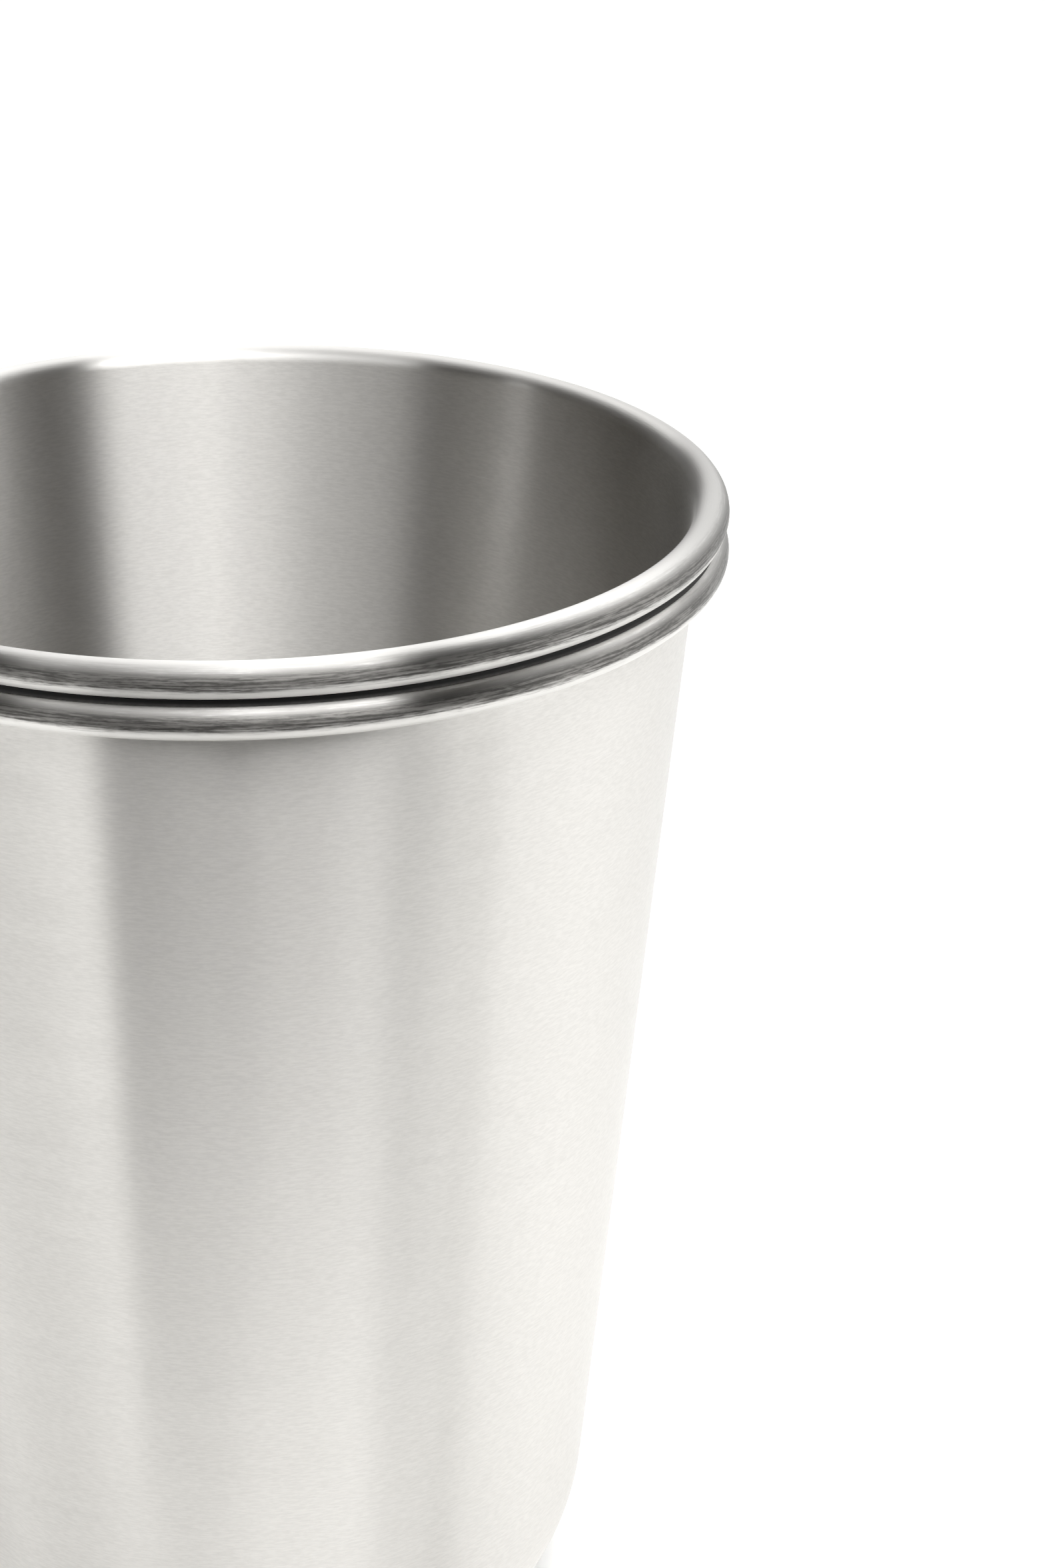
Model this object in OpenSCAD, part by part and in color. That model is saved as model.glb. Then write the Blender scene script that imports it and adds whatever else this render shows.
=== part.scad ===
// Julep cup: a drawn steel liner with a rolled rim hangs in a drawn steel shell
// with a rolled rim of its own. A dark seal ring sits in the slot between the rims
// and closes the air space between the two walls.
// +Z is up, the axis of the cup is Z, and the base stands on z = 0.

/* [Cup] */
// Diameter across the rolled rims
rim_d = 83; // [78:0.5:90]
// Height from the table to the top of the rim
cup_h = 105; // [95:1:120]
// Thickness of the steel sheet
sheet_t = 0.4; // [0.3:0.05:0.5]

/* [Rolled rims] */
// Outside diameter of each rolled rim
roll_d = 2.95; // [2.6:0.05:3.4]
// How far round the edge is rolled, in degrees
roll_turn = 290; // [240:5:305]
// Height of the slot between the two rims
rim_gap = 0.4; // [0.3:0.05:0.8]

/* [Walls] */
// Lean of the shell's wall from upright, in degrees
shell_lean = 6.2; // [5:0.1:7]
// Clearance between the liner's wall and the mouth of the shell
mouth_clear = 0.1; // [0.05:0.05:0.3]

/* [Base] */
// Outside radius of the wide sweep where the wall turns in
sweep_r = 22; // [18:0.5:26]
// Slope of the surface where the wide sweep ends, in degrees below level
sweep_end = 36; // [25:1:50]
// Outside radius of the tight turn from the sweep into the base
turn_r = 6; // [4:0.5:9]
// Width of the flat ring that the cup stands on
stand_w = 3.6; // [2.5:0.1:6]
// Height of the raised panel inside that ring
panel_h = 1; // [0.5:0.1:2]
// Width of the step around the raised panel
panel_step = 3; // [2:0.25:4]
// Air between the raised panel and the liner's floor
floor_gap = 3; // [2:0.5:6]

/* [Rim seal] */
// How far the seal reaches to each side of the middle of the rolls
seal_reach = 0.6; // [0.4:0.05:0.8]
// Clearance between the seal and each roll
seal_clear = 0.05; // [0.03:0.01:0.1]

/* [Hidden] */

$fn = 96;
// Straight stretches that make up each round stretch of an outline
roll_steps = 36;
corner_steps = 12;
step_steps = 10;
seal_steps = 8;

shell_steel = [0.78, 0.77, 0.75];
liner_steel = [0.72, 0.71, 0.69];
seal_black = [0.05, 0.05, 0.05];

// The rolls share one centre radius and lie one pitch apart
roll_r = roll_d / 2;
roll_mid_r = rim_d / 2 - roll_r;
rim_pitch = roll_d + rim_gap;
liner_roll_z = cup_h - roll_r;
shell_roll_z = liner_roll_z - rim_pitch;

// The liner leans just enough for its wall to pass the shell's roll with the clearance
pass_lean = asin((sheet_t + mouth_clear) / rim_pitch);
liner_lean = max(shell_lean, pass_lean);

// Tops of the two floors
shell_floor_z = sheet_t;
liner_floor_z = shell_floor_z + panel_h + floor_gap + sheet_t;

// Radii of the base corner on the face towards the drink
sweep_in_r = sweep_r - sheet_t;
turn_in_r = turn_r - sheet_t;
corner_reach = sweep_in_r - turn_in_r;

// Radius of the seal's hollows, and the angle to each side of a roll that they cover
hollow_r = roll_r + seal_clear;
seal_half = asin(seal_reach / hollow_r);

// A point at an angle on a circle, with the radius outwards and the height as its axes
function on_circle(centre, radius, angle) = centre + radius * [cos(angle), sin(angle)];

// Points along an arc from one angle to another
function arc(centre, radius, from, to, steps) =
    [for (i = [0 : steps]) on_circle(centre, radius, from + (to - from) * i / steps)];

// An outline's points in the opposite order
function turned_back(points) = [for (i = [len(points) - 1 : -1 : 0]) points[i]];

// Centre of the wide sweep, which touches the wall and leaves room for the tight turn
function sweep_centre(lean, roll_z, floor_z) =
    let (
        top = on_circle([roll_mid_r, roll_z], roll_r, 180 - lean),
        z = floor_z + turn_in_r + corner_reach * sin(sweep_end),
        wall_len = (top[1] + sweep_in_r * sin(lean) - z) / cos(lean)
    )
    [top[0] - wall_len * sin(lean) - sweep_in_r * cos(lean), z];

// Floor from the axis to the flat ring, down the raised panel's step, which eases in and out
function floor_line(floor_z, rise, ring_r) =
    concat(
        [[0, floor_z + rise]],
        [for (i = [0 : step_steps])
            let (share = i / step_steps)
            [ring_r - panel_step * (1 - share), floor_z + rise * (1 + cos(180 * share)) / 2]]
    );

// One face of the sheet, from the axis over the floor and up the wall to the end of the roll
function sheet_face(lean, roll_z, floor_z, rise, depth) =
    let (
        sweep_mid = sweep_centre(lean, roll_z, floor_z),
        turn_mid = on_circle(sweep_mid, corner_reach, -sweep_end),
        ring_r = turn_mid[0] - stand_w,
        roll_start = 180 - lean
    )
    concat(
        rise > 0 ? floor_line(floor_z - depth, rise, ring_r) : [[0, floor_z - depth]],
        arc(turn_mid, turn_in_r + depth, -90, -sweep_end, corner_steps),
        arc(sweep_mid, sweep_in_r + depth, -sweep_end, -lean, corner_steps),
        arc([roll_mid_r, roll_z], roll_r - depth, roll_start, roll_start - roll_turn, roll_steps)
    );

// A drawn cup of sheet steel with a rolled rim
module drawn_cup(lean, roll_z, floor_z, rise) {
    drink_face = sheet_face(lean, roll_z, floor_z, rise, 0);
    outer_face = sheet_face(lean, roll_z, floor_z, rise, sheet_t);
    rotate_extrude()
        polygon(concat(drink_face, turned_back(outer_face)));
}

// Outer cup, which stands on the table and carries the liner on its rim
module outer_shell() {
    color(shell_steel)
        drawn_cup(shell_lean, shell_roll_z, shell_floor_z, panel_h);
}

// Inner cup, which holds the drink and hangs in the shell by its rim
module inner_liner() {
    color(liner_steel)
        drawn_cup(liner_lean, liner_roll_z, liner_floor_z, 0);
}

// Ring in the slot between the rims, hollowed above and below to fit the two rolls
module rim_seal() {
    over_shell = arc([roll_mid_r, shell_roll_z], hollow_r, 90 + seal_half, 90 - seal_half, seal_steps);
    under_liner = arc([roll_mid_r, liner_roll_z], hollow_r, seal_half - 90, -seal_half - 90, seal_steps);
    color(seal_black)
        rotate_extrude()
            polygon(concat(over_shell, under_liner));
}

outer_shell();
inner_liner();
rim_seal();
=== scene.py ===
# %% [markdown]
# # A julep cup of brushed steel
# The real cup is two cups drawn from sheet steel, one hung inside the other by its rolled rim, with
# a black seal ring in the slot between the rims. Everything is round about Z, so each sheet is drawn
# as a section and spun once around. Most of the lesson is about the finish: brushed metal has hardly
# a colour of its own, so its fine lines and the things that it mirrors make the picture.

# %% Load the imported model
from math import asin, cos, pi, radians, sin, tan

import bmesh
import bpy
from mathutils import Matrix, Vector


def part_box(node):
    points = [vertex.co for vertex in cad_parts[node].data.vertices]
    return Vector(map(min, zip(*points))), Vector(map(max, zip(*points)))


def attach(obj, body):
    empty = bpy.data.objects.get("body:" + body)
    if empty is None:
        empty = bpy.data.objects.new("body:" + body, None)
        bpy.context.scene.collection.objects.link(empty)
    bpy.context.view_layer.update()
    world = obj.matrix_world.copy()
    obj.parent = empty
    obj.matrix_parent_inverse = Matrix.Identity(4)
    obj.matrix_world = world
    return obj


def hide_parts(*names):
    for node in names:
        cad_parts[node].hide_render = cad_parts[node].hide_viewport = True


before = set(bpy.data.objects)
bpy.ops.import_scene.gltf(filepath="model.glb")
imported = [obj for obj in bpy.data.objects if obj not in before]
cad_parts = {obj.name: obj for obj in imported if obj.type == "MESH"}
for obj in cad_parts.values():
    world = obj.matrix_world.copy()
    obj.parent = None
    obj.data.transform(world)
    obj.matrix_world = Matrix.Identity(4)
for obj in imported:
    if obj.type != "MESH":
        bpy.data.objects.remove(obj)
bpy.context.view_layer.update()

# %% [markdown]
# ## Sizes
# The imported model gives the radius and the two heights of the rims. The sheet, the rolls and the
# base corner repeat the design's own values, because a box doesn't show them. Working in metres
# through one MM factor keeps the numbers readable.

# %% Sizes
MM = 0.001

sheet = 0.4 * MM
roll_r = 1.475 * MM
roll_turn = radians(290)
rim_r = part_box("inner_liner")[1].x
roll_mid_r = rim_r - roll_r
liner_roll_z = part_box("inner_liner")[1].z - roll_r
shell_roll_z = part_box("outer_shell")[1].z - roll_r
rim_pitch = liner_roll_z - shell_roll_z

shell_lean = radians(6.2)
mouth_clear = 0.1 * MM
liner_lean = asin((sheet + mouth_clear) / rim_pitch)
shell_floor_z = sheet
liner_floor_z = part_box("inner_liner")[0].z + sheet

sweep_in_r = 21.6 * MM
turn_in_r = 5.6 * MM
sweep_end = radians(36)
stand_w = 3.6 * MM
panel_h = 1.0 * MM
panel_step = 3.0 * MM
print("rolls lie", round(rim_pitch / MM, 2), "mm apart; liner's lean", round(liner_lean * 180 / pi, 2))

# %% [markdown]
# ## Drawing a section
# A section is a chain of vertices in the XZ plane, grown from its tip. A straight stretch extrudes
# the tip, and a round stretch spins it about the centre of the bend. Three attributes are written on
# the chain before it is spun: how far along the sheet a point lies, whether it is on the roll, and
# how far round the roll it is. The finish reads them later, so that its lines follow the sheet.

# %% Section tools
EASE_STEPS = 7
TURN_STEPS = 14
ROLL_STEPS = 64
ROLL_EASE = 6


def straight_to(bm, tip, r, z):
    """Extrudes the tip of the section to a radius and a height."""
    tip = bmesh.ops.extrude_vert_indiv(bm, verts=[tip])["verts"][0]
    tip.co = (r, 0, z)
    return tip


def bend(bm, tip, centre, turn, steps):
    """Spins the tip about a centre; a positive turn goes up from the outer side."""
    made = bmesh.ops.spin(bm, geom=[tip], cent=(centre[0], 0, centre[1]), axis=(0, -1, 0),
                          angle=turn, steps=steps)["geom_last"]
    return [v for v in made if isinstance(v, bmesh.types.BMVert)][0]


def write_lengths(bm, along, rolled, turned, roll_start):
    """Writes the length along the sheet and the place on the roll on each point."""
    length, last = 0.0, None
    for index, vert in enumerate(bm.verts):
        if last is not None:
            length += (vert.co - last.co).length
        vert[along] = length
        vert[rolled] = min(max((index - roll_start) / ROLL_EASE, 0.0), 1.0)
        vert[turned] = max((index - roll_start) / ROLL_STEPS, 0.0)
        last = vert
    return length


# %% [markdown]
# ## From section to sheet
# A full spin with its ends merged closes the cup, and the doubled points on the axis are merged
# before the normals are recalculated. The section is the face that touches the drink, and the sheet
# gets its thickness behind it, against the normals.

# %% Sheet tools
AROUND = 256
MERGE_GAP = 0.001 * MM
SHARP_FROM = radians(50)


def spin_round(bm):
    """Turns a section into a closed ring of faces about Z."""
    bmesh.ops.spin(bm, geom=bm.verts[:] + bm.edges[:], cent=(0, 0, 0), axis=(0, 0, 1),
                   angle=2 * pi, steps=AROUND, use_merge=True)
    bmesh.ops.remove_doubles(bm, verts=bm.verts[:], dist=MERGE_GAP)
    bmesh.ops.recalc_face_normals(bm, faces=bm.faces[:])


def piece_from(bm, name, node):
    """Puts the mesh in the scene as a piece that stands for a CAD node."""
    mesh = bpy.data.meshes.new(name)
    bm.to_mesh(mesh)
    volume = bm.calc_volume(signed=True)
    bm.free()
    mesh.shade_smooth()
    mesh.set_sharp_from_angle(angle=SHARP_FROM)
    piece = bpy.data.objects.new(name, mesh)
    bpy.context.scene.collection.objects.link(piece)
    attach(piece, "root")
    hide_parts(node)
    print(name, len(mesh.polygons), "faces,", round(volume / MM**3), "mm3")
    return piece


def drawn_cup(name, lean, roll_z, floor_z, rise, node):
    """A cup of sheet steel: floor, tight turn, wide sweep, leaning wall and rolled rim."""
    wall_top = Vector((roll_mid_r - roll_r * cos(lean), roll_z + roll_r * sin(lean)))
    reach = sweep_in_r - turn_in_r
    sweep_z = floor_z + turn_in_r + reach * sin(sweep_end)
    wall = (wall_top.y + sweep_in_r * sin(lean) - sweep_z) / cos(lean)
    sweep_mid = Vector((wall_top.x - wall * sin(lean) - sweep_in_r * cos(lean), sweep_z))
    turn_mid = sweep_mid + reach * Vector((cos(sweep_end), -sin(sweep_end)))

    bm = bmesh.new()
    along = bm.verts.layers.float.new("along_sheet")
    rolled = bm.verts.layers.float.new("rolled")
    turned = bm.verts.layers.float.new("turned")
    tip = bm.verts.new((0, 0, floor_z + rise))
    if rise > 0:
        ring_r = turn_mid.x - stand_w
        ease_r = (panel_step**2 + rise**2) / (4 * rise)
        ease_turn = asin(panel_step / 2 / ease_r)
        tip = straight_to(bm, tip, ring_r - panel_step, floor_z + rise)
        tip = bend(bm, tip, (ring_r - panel_step, floor_z + rise - ease_r), -ease_turn, EASE_STEPS)
        tip = bend(bm, tip, (ring_r, floor_z + ease_r), ease_turn, EASE_STEPS)
    tip = straight_to(bm, tip, turn_mid.x, floor_z)
    tip = bend(bm, tip, turn_mid, pi / 2 - sweep_end, TURN_STEPS)
    tip = bend(bm, tip, sweep_mid, sweep_end - lean, TURN_STEPS)
    tip = straight_to(bm, tip, *wall_top)
    roll_start = len(bm.verts) - 1
    tip = bend(bm, tip, (roll_mid_r, roll_z), -roll_turn, ROLL_STEPS)
    length = write_lengths(bm, along, rolled, turned, roll_start)
    print(name, "section is", round(length / MM, 1), "mm long")

    spin_round(bm)
    bmesh.ops.solidify(bm, geom=bm.faces[:], thickness=sheet)
    return piece_from(bm, name, node)


# %% [markdown]
# ## The two cups
# The shell stands on the table and has a raised panel in its base, which stiffens it. The liner has
# a plain floor, and its wall leans a little more, so that it passes inside the shell's roll.

# %% The two cups
shell = drawn_cup("cup_shell", shell_lean, shell_roll_z, shell_floor_z, panel_h,
                  "outer_shell")
liner = drawn_cup("cup_liner", liner_lean, liner_roll_z, liner_floor_z, 0.0,
                  "inner_liner")

# %% [markdown]
# ## The seal ring
# A thin black ring lies in the slot between the two rolls. Its section is hollow above and below,
# where the rolls nestle in, so it is two bends joined at their ends and spun.

# %% The seal ring
seal_reach = 0.6 * MM
seal_clear = 0.05 * MM
hollow_r = roll_r + seal_clear
seal_half = asin(seal_reach / hollow_r)
SEAL_STEPS = 10

bm = bmesh.new()
start = bm.verts.new((roll_mid_r - seal_reach, 0, shell_roll_z + hollow_r * cos(seal_half)))
tip = bend(bm, start, (roll_mid_r, shell_roll_z), -2 * seal_half, SEAL_STEPS)
tip = straight_to(bm, tip, roll_mid_r + seal_reach, liner_roll_z - hollow_r * cos(seal_half))
tip = bend(bm, tip, (roll_mid_r, liner_roll_z), -2 * seal_half, SEAL_STEPS)
bm.edges.new((tip, start))
spin_round(bm)
seal = piece_from(bm, "seal_ring", "rim_seal")

# %% [markdown]
# ## Brush marks, shared by both cups
# The sheet is brushed around, so every mark is short across and long around. A noise that is squeezed
# along the sheet and stretched in X and Y gives such marks without a seam, on the wall, the floor and
# the rolls alike. The group gives one height, and each material places it several times, with a pitch
# and a reach of its own for the grain, the streaks, the patches and the hairlines.

# %% Node tools
def add_node(tree, kind, **settings):
    """Adds a node; a setting that names an input sets its value, any other one an option."""
    node = tree.nodes.new(kind)
    for key, value in settings.items():
        if key in node.inputs:
            node.inputs[key].default_value = value
        else:
            setattr(node, key, value)
    return node


def sums(tree, operation, first, second):
    """A Math node; a number goes on its input, a socket is linked to it."""
    node = add_node(tree, "ShaderNodeMath", operation=operation)
    for socket, value in zip(node.inputs, (first, second)):
        if isinstance(value, (int, float)):
            socket.default_value = value
        else:
            tree.links.new(value, socket)
    return node.outputs[0]


def ramp(tree, value, low, high, to_low=0.0, to_high=1.0, ease="SMOOTHSTEP"):
    """Eases a value from one range to another."""
    node = add_node(tree, "ShaderNodeMapRange", interpolation_type=ease)
    for name, number in (("From Min", low), ("From Max", high), ("To Min", to_low), ("To Max", to_high)):
        node.inputs[name].default_value = number
    tree.links.new(value, node.inputs["Value"])
    return node.outputs["Result"]


def new_group(name, inputs, outputs):
    """An empty shader node group with number inputs and outputs."""
    group = bpy.data.node_groups.new(name, "ShaderNodeTree")
    for label in inputs:
        group.interface.new_socket(label, in_out="INPUT", socket_type="NodeSocketFloat")
    for label in outputs:
        group.interface.new_socket(label, in_out="OUTPUT", socket_type="NodeSocketFloat")
    return group, group.nodes.new("NodeGroupInput"), group.nodes.new("NodeGroupOutput")


# %% Brush marks
brush_marks, marks_in, marks_out = new_group("brush_marks", ("Along", "Pitch", "Reach"), ("Height",))
place = add_node(brush_marks, "ShaderNodeTexCoord")
split = add_node(brush_marks, "ShaderNodeSeparateXYZ")
join = add_node(brush_marks, "ShaderNodeCombineXYZ")
grain = add_node(brush_marks, "ShaderNodeTexNoise", Scale=1.0, Detail=3.0, Roughness=0.6)
brush_marks.links.new(place.outputs["Object"], split.inputs[0])
for axis in ("X", "Y"):
    stretched = sums(brush_marks, "DIVIDE", split.outputs[axis], marks_in.outputs["Reach"])
    brush_marks.links.new(stretched, join.inputs[axis])
squeezed = sums(brush_marks, "DIVIDE", marks_in.outputs["Along"], marks_in.outputs["Pitch"])
brush_marks.links.new(squeezed, join.inputs["Z"])
brush_marks.links.new(join.outputs[0], grain.inputs["Vector"])
brush_marks.links.new(grain.outputs["Fac"], marks_out.inputs["Height"])
print("group", brush_marks.name, "has", len(brush_marks.nodes), "nodes")

# %% [markdown]
# ## Brushed steel
# Brushing leaves thousands of grooves around the cup. Along a groove the steel is close to a mirror,
# and across it light is thrown far up and down, so a lamp shows as an upright band. The grooves are
# finer than a pixel, so the shader's anisotropy stands for them, turned a quarter so that the wide
# spread runs up the wall. The marks add only what the eye still sees: a faint grain, and here and
# there a hairline from use.
#
# The rolls were bent in a tool after the brushing. Their tops are smooth, and their outer shoulders are
# duller and carry painted shade: a dark band with streaks along its length. The place on the roll, made
# ragged by the streaks, says where that band lies, so that its edges are not straight.

# %% Colour tool
def two_tints(tree, share, first, second):
    """Mixes two colours, or two colour sockets, by a value over the surface."""
    mix = add_node(tree, "ShaderNodeMix", data_type="RGBA")
    tree.links.new(share, mix.inputs["Factor"])
    for label, tint in (("A", first), ("B", second)):
        socket = [s for s in mix.inputs if s.name == label and s.type == "RGBA"][0]
        if isinstance(tint, tuple):
            socket.default_value = (*tint, 1)
        else:
            tree.links.new(tint, socket)
    return [s for s in mix.outputs if s.type == "RGBA"][0]


# %% Brushed steel
HAIRLINE_TINT = (0.82, 0.81, 0.79)
ROLL_TOP_TINT = (0.66, 0.65, 0.63)
# colours of the painted shade band on the rolls
SHADE_BAND_DARK = (0.10, 0.097, 0.092)
SHADE_BAND_LIGHT = (0.26, 0.253, 0.241)


def brushed_steel(name, wall_dark, wall_light, wall_rough):
    """Steel with an even brushed wall and rolls that carry a dark band of painted shade, with streaks."""
    steel = bpy.data.materials.new(name)
    steel.use_nodes = True
    tree = steel.node_tree
    shader = tree.nodes["Principled BSDF"]
    shader.inputs["Metallic"].default_value = 1.0
    shader.inputs["Anisotropic"].default_value = 1.0
    shader.inputs["Anisotropic Rotation"].default_value = 0.25
    along, rolled, turned = (add_node(tree, "ShaderNodeAttribute", attribute_name=label).outputs["Fac"]
                             for label in ("along_sheet", "rolled", "turned"))

    def marks(pitch, reach):
        node = add_node(tree, "ShaderNodeGroup", node_tree=brush_marks, Pitch=pitch, Reach=reach)
        tree.links.new(along, node.inputs["Along"])
        return node.outputs["Height"]

    grain = marks(0.16 * MM, 0.9 * MM)
    streaks = marks(0.16 * MM, 5 * MM)
    patches = marks(1.2 * MM, 14 * MM)
    hairlines = ramp(tree, marks(0.1 * MM, 12 * MM), 0.68, 0.76)

    band_streaks = sums(tree, "ADD", sums(tree, "MULTIPLY", streaks, 0.7), sums(tree, "MULTIPLY", grain, 0.3))
    ragged = sums(tree, "ADD", turned, ramp(tree, band_streaks, 0.35, 0.65, -0.03, 0.03, "LINEAR"))
    # painted shade: a dark band from about a third to two thirds of the way round each roll, its edges made
    # ragged by the streaks
    shade_band_starts, shade_band_ends = ramp(tree, ragged, 0.34, 0.52), ramp(tree, ragged, 0.60, 0.69, 1, 0)
    shade_band = sums(tree, "MULTIPLY", shade_band_starts, shade_band_ends)

    wall = two_tints(tree, ramp(tree, grain, 0.3, 0.7), wall_dark, wall_light)
    wall = two_tints(tree, sums(tree, "MULTIPLY", hairlines, 0.5), wall, HAIRLINE_TINT)
    # tone of the painted shade band, darker and lighter in streaks
    shade_with_streaks = two_tints(tree, ramp(tree, band_streaks, 0.40, 0.60), SHADE_BAND_DARK, SHADE_BAND_LIGHT)
    roll = two_tints(tree, shade_band, ROLL_TOP_TINT, shade_with_streaks)
    tree.links.new(two_tints(tree, rolled, wall, roll), shader.inputs["Base Color"])

    wall_gloss = ramp(tree, patches, 0.3, 0.7, wall_rough - 0.008, wall_rough + 0.008)
    smoother = sums(tree, "MULTIPLY", rolled, ramp(tree, shade_band, 0, 1, -0.09, -0.02))
    tree.links.new(sums(tree, "ADD", wall_gloss, smoother), shader.inputs["Roughness"])

    depth = sums(tree, "ADD", grain, sums(tree, "MULTIPLY", streaks, rolled))
    relief = add_node(tree, "ShaderNodeBump", Strength=1.0, Distance=0.008 * MM)
    tree.links.new(depth, relief.inputs["Height"])
    tree.links.new(relief.outputs["Normal"], shader.inputs["Normal"])
    print(name, "has", len(tree.nodes), "nodes")
    return steel


shell_steel = brushed_steel("shell_brushed", wall_dark=(0.65, 0.636, 0.612),
                            wall_light=(0.715, 0.70, 0.675), wall_rough=0.38)
liner_steel = brushed_steel("liner_brushed", wall_dark=(0.64, 0.628, 0.605),
                            wall_light=(0.71, 0.697, 0.673), wall_rough=0.43)
shell.data.materials.append(shell_steel)
liner.data.materials.append(liner_steel)

# %% [markdown]
# ## Seal rubber
# Only a thin line of the ring shows between the rolls. Its upper half lies in shadow and is black, and
# its lower half is painted a dark grey as painted light, the light that reaches it below the upper roll.
# The height gives the two halves, and a fine noise keeps the painted light uneven.

# %% Seal rubber
rubber = bpy.data.materials.new("seal_black")
rubber.use_nodes = True
tree = rubber.node_tree
shader = tree.nodes["Principled BSDF"]
shader.inputs["Specular IOR Level"].default_value = 0.2
place = add_node(tree, "ShaderNodeTexCoord")
height = add_node(tree, "ShaderNodeSeparateXYZ")
speck = 0.5 * MM
specks = add_node(tree, "ShaderNodeTexNoise", Scale=1 / speck, Detail=4.0)
tree.links.new(place.outputs["Object"], height.inputs[0])
tree.links.new(place.outputs["Object"], specks.inputs["Vector"])
slot_mid_z = (liner_roll_z + shell_roll_z) / 2
lower = ramp(tree, height.outputs["Z"], slot_mid_z - 0.3 * MM, slot_mid_z + 0.05 * MM, 1.0, 0.0)
# painted light: the lower half of the seal is painted a lighter grey than the black upper half
seal_painted_light = sums(tree, "MULTIPLY", lower, ramp(tree, specks.outputs["Fac"], 0.3, 0.7, 0.6, 1.0))
tint = two_tints(tree, seal_painted_light, (0.004, 0.004, 0.004), (0.06, 0.057, 0.054))
tree.links.new(tint, shader.inputs["Base Color"])
tree.links.new(ramp(tree, seal_painted_light, 0, 1, 0.6, 0.85), shader.inputs["Roughness"])
seal.data.materials.append(rubber)
print("seal_black has", len(tree.nodes), "nodes")

# %% [markdown]
# ## Floor
# The cup stands on a plain white table. A little glow for the camera and for mirrors lifts the table
# to white without more light on the cup, and all other rays see the plain surface, so the cup keeps
# its shadow. The table lies a hair under the base, because two faces in one plane flicker.

# %% Floor
def stage_piece(bm, name, material):
    """Puts a mesh in the scene as part of the studio, not of the cup."""
    mesh = bpy.data.meshes.new(name)
    bm.to_mesh(mesh)
    bm.free()
    mesh.materials.append(material)
    piece = bpy.data.objects.new(name, mesh)
    bpy.context.scene.collection.objects.link(piece)
    return piece


def seen_or_mirrored(tree):
    """One for rays from the camera and from shiny or clear surfaces, nought for all others."""
    path = add_node(tree, "ShaderNodeLightPath")
    seen = sums(tree, "MAXIMUM", path.outputs["Is Camera Ray"], path.outputs["Is Glossy Ray"])
    return sums(tree, "MAXIMUM", seen, path.outputs["Is Transmission Ray"])


pale = bpy.data.materials.new("floor_pale")
pale.use_nodes = True
tree = pale.node_tree
ground = tree.nodes["Principled BSDF"]
ground.inputs["Base Color"].default_value = (0.8, 0.8, 0.79, 1)
ground.inputs["Roughness"].default_value = 0.9
ground.inputs["Specular IOR Level"].default_value = 0.0
ground.inputs["Emission Color"].default_value = (1, 1, 1, 1)
floor_glow = 0.25
tree.links.new(sums(tree, "MULTIPLY", seen_or_mirrored(tree), floor_glow), ground.inputs["Emission Strength"])
bm = bmesh.new()
floor_half = 3.0
floor_drop = 0.02 * MM
bmesh.ops.create_grid(bm, x_segments=1, y_segments=1, size=floor_half)
floor = stage_piece(bm, "floor", pale)
floor.location.z = -floor_drop
print("floor is", round(floor.dimensions.x, 1), "m wide")

# %% [markdown]
# ## World
# The air around the cup is white where the camera or the steel looks at it, and a weak fill light for
# everything else.

# %% World
world = bpy.data.worlds.new("studio")
world.use_nodes = True
bpy.context.scene.world = world
tree = world.node_tree
air = tree.nodes["Background"]
air.inputs["Color"].default_value = (1, 1, 1, 1)
fill, white = 0.15, 1.0
tree.links.new(ramp(tree, seen_or_mirrored(tree), 0, 1, fill, white), air.inputs["Strength"])
print("world is ready")

# %% [markdown]
# ## Lamps
# A shiny cup shows its lamps, so each lamp is placed by the direction in which the steel should show
# it: a softbox in front on the right, which makes the bright band inside the cup, a strip near its
# right edge, where that band is brightest, and a narrow strip on the left for the thin band. The lamp
# overhead lights the table and throws the shadow, and mirrors don't see it. An area lamp's brightness
# in a mirror is its power over pi times its area, so the power is worked out from the brightness that
# is wanted.

# %% Lamps
cup_mid_z = 0.06


def facing(azimuth, height, spread, rise, away):
    """Place, turns, width and height of a panel that faces the cup, from angles in degrees."""
    turn, up = radians(azimuth), radians(height)
    middle = Vector((away * cos(up) * sin(turn), -away * cos(up) * cos(turn), cup_mid_z + away * sin(up)))
    width = 2 * away * cos(up) * tan(radians(spread / 2))
    return middle, (pi / 2 - up, 0, turn), width, 2 * away * tan(radians(rise / 2))


def softbox(name, middle, turns, width, tall, glow):
    """An area lamp that shows in a mirror with the brightness glow."""
    lamp = bpy.data.lights.new(name, "AREA")
    lamp.shape = "RECTANGLE"
    lamp.size, lamp.size_y = width, tall
    lamp.energy = glow * pi * width * tall
    stand = bpy.data.objects.new(name, lamp)
    stand.location = middle
    stand.rotation_euler = turns
    stand.visible_camera = False
    bpy.context.scene.collection.objects.link(stand)
    print(name, "gives", round(lamp.energy, 2), "W")
    return stand


softbox("front_softbox", *facing(azimuth=24.5, height=49, spread=43, rise=38, away=0.8), glow=5.3)
softbox("edge_strip", *facing(azimuth=38.5, height=49, spread=5, rise=38, away=0.79), glow=2.0)
softbox("left_strip", *facing(azimuth=-78, height=19.5, spread=5, rise=19, away=0.8), glow=2.5)
overhead = softbox("top_softbox", Vector((0, -0.15, 1.3)), (0, 0, 0), width=1.1, tall=1.1, glow=6.2)
overhead.visible_glossy = False

# %% [markdown]
# ## Cards
# Steel in a white room looks white. What gives it shape is what is dark, so a photographer stands
# black cards around it. The same is done here with cards that only shiny surfaces see. Some of them
# glow from side to side, which gives the soft ends of the bands, and plain bright ones light the tops
# of the rolls. The inside of the cup sees only what is high up, and the wall mostly what is low, so the
# high cards tune the one and the low cards the other.

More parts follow.
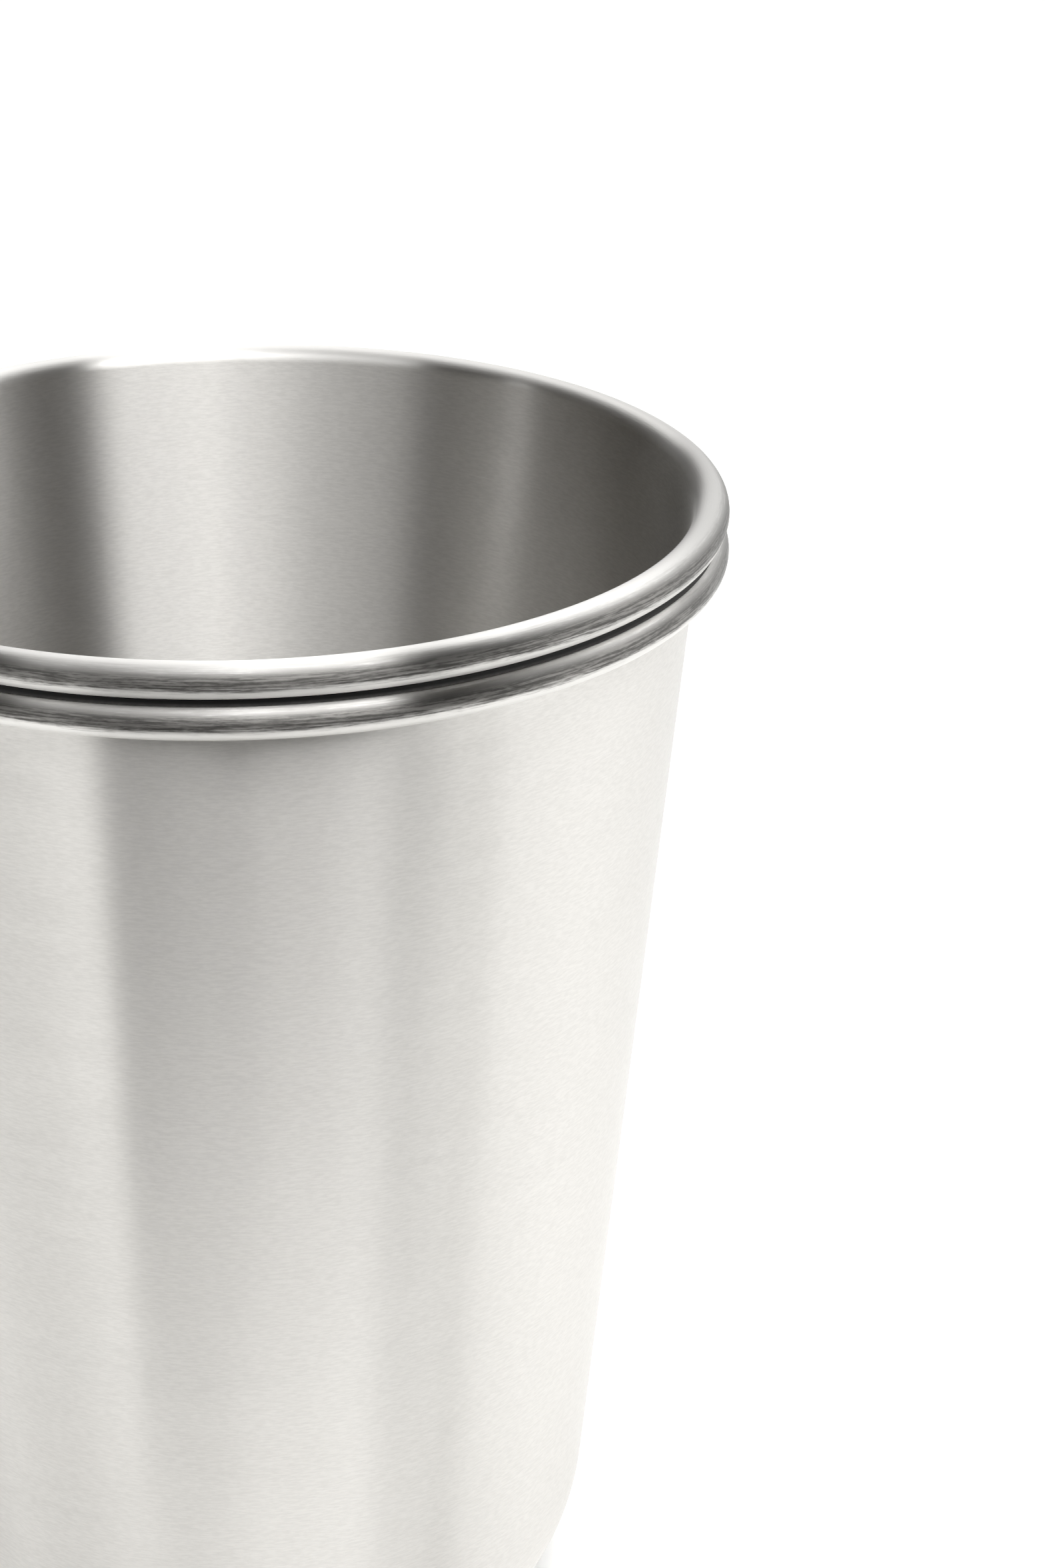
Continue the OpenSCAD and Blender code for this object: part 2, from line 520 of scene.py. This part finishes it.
# %% Card tools
def card_finish(name, glow_from, glow_to, reach=1.0, rise=1.0, tint=(1, 1, 1)):
    """A black card that glows from its left to its right, slowly at first where rise is high."""
    card = bpy.data.materials.new(name)
    card.use_nodes = True
    tree = card.node_tree
    surface = tree.nodes["Principled BSDF"]
    surface.inputs["Base Color"].default_value = (0, 0, 0, 1)
    surface.inputs["Roughness"].default_value = 1.0
    surface.inputs["Specular IOR Level"].default_value = 0.0
    surface.inputs["Emission Color"].default_value = (*tint, 1)
    across = add_node(tree, "ShaderNodeSeparateXYZ")
    tree.links.new(add_node(tree, "ShaderNodeTexCoord").outputs["Object"], across.inputs[0])
    share = sums(tree, "POWER", ramp(tree, across.outputs["X"], -reach, reach, ease="LINEAR"), rise)
    tree.links.new(ramp(tree, share, 0, 1, glow_from, glow_to, "LINEAR"), surface.inputs["Emission Strength"])
    return card


def only_mirrored(piece):
    """Hides a card from the camera and from all light but reflections."""
    piece.visible_camera = piece.visible_diffuse = piece.visible_shadow = False


def card_piece(name, middle, turns, width, tall, finish):
    """A flat card that only shiny surfaces see."""
    bm = bmesh.new()
    bmesh.ops.create_grid(bm, x_segments=1, y_segments=1, size=0.5)
    bmesh.ops.scale(bm, vec=(width, tall, 1), verts=bm.verts[:])
    card = stage_piece(bm, name, finish)
    card.location = middle
    card.rotation_euler = turns
    only_mirrored(card)
    print(name, round(width, 2), "x", round(tall, 2), "m")


# %% Bright cards
middle, turns, width, tall = facing(azimuth=-26, height=49, spread=58, rise=38, away=0.82)
graded = card_finish("card_graded", glow_from=1.75, glow_to=5.0, reach=width / 2, rise=2.2)
card_piece("fill_card", middle, turns, width, tall, graded)

bright = card_finish("card_bright", glow_from=2.4, glow_to=2.4)
card_piece("back_card", *facing(azimuth=180, height=51, spread=60, rise=42, away=0.82), bright)
card_piece("right_card", *facing(azimuth=117, height=45, spread=40, rise=40, away=0.82), bright)

middle, turns, width, tall = facing(azimuth=106, height=12, spread=74, rise=26, away=0.84)
pale_edge = card_finish("card_pale", glow_from=1.6, glow_to=1.1, reach=width / 2)
card_piece("right_low_card", middle, turns, width, tall, pale_edge)

# %% Dark cards
black = card_finish("card_black", glow_from=0.02, glow_to=0.02, tint=(1.0, 0.8, 0.6))
card_piece("high_card", *facing(azimuth=-108, height=71, spread=100, rise=22, away=0.86), black)
card_piece("high_card_right", *facing(azimuth=81, height=53, spread=32, rise=54, away=0.86), black)
dim = card_finish("card_dim", glow_from=0.4, glow_to=0.4)
card_piece("ceiling_card", Vector((0, 0, 1.6)), (0, 0, 0), width=1.0, tall=1.0, finish=dim)

# %% Low cards
upright, from_behind = (pi / 2, 0, 0), (pi / 2, 0, pi)
card_piece("low_card_left", Vector((-0.004, -0.105, 0.054)), upright, width=0.095, tall=0.092, finish=black)

width = 0.11
low_glow = card_finish("card_low", glow_from=0.0, glow_to=1.2, reach=width / 2)
card_piece("low_card_right", Vector((0.105, -0.12, 0.05)), upright, width, tall=0.1, finish=low_glow)

width = 0.16
back_glow = card_finish("card_back", glow_from=0.1, glow_to=0.9, reach=width / 2)
card_piece("back_low_card", Vector((-0.06, 0.16, 0.06)), from_behind, width, tall=0.12, finish=back_glow)

# %% [markdown]
# The rest of the dark room is one curved wall from behind on the left, past the camera, to the right.
# It is a post spun about the cup. Where the wall ends, the steel shows the white air.

# %% Dark wall
wall_away, wall_tall = 0.9, 2.3
wall_from, wall_turn = radians(-168), radians(235)

bm = bmesh.new()
foot = bm.verts.new((wall_away * sin(wall_from), -wall_away * cos(wall_from), 0.0))
head = bm.verts.new((*foot.co.xy, wall_tall))
post = bm.edges.new((foot, head))
bmesh.ops.spin(bm, geom=[post, foot, head], cent=(0, 0, 0), axis=(0, 0, 1), angle=wall_turn, steps=64)
dark_wall = stage_piece(bm, "dark_wall", black)
only_mirrored(dark_wall)
print("dark wall has", len(dark_wall.data.polygons), "faces")

# %% [markdown]
# ## Camera
# The photograph looks down at the rim at about 22 degrees from close by, and cuts off the cup's left
# side and its base. The place and the tilt come from fitting the rim's two ellipses.

# %% Camera
lens = bpy.data.cameras.new("photo_camera")
lens.lens, lens.sensor_width = 100, 36
lens.clip_start, lens.clip_end = 0.01, 20
camera = bpy.data.objects.new("photo_camera", lens)
camera_tilt = radians(67)
camera.location = (0.02417, -0.34503, 0.2245)
camera.rotation_euler = (camera_tilt, 0, 0)
bpy.context.scene.collection.objects.link(camera)
bpy.context.scene.camera = camera
bpy.context.scene.view_settings.view_transform = "Standard"
print("camera is", round(camera.location.length, 3), "m from the base")
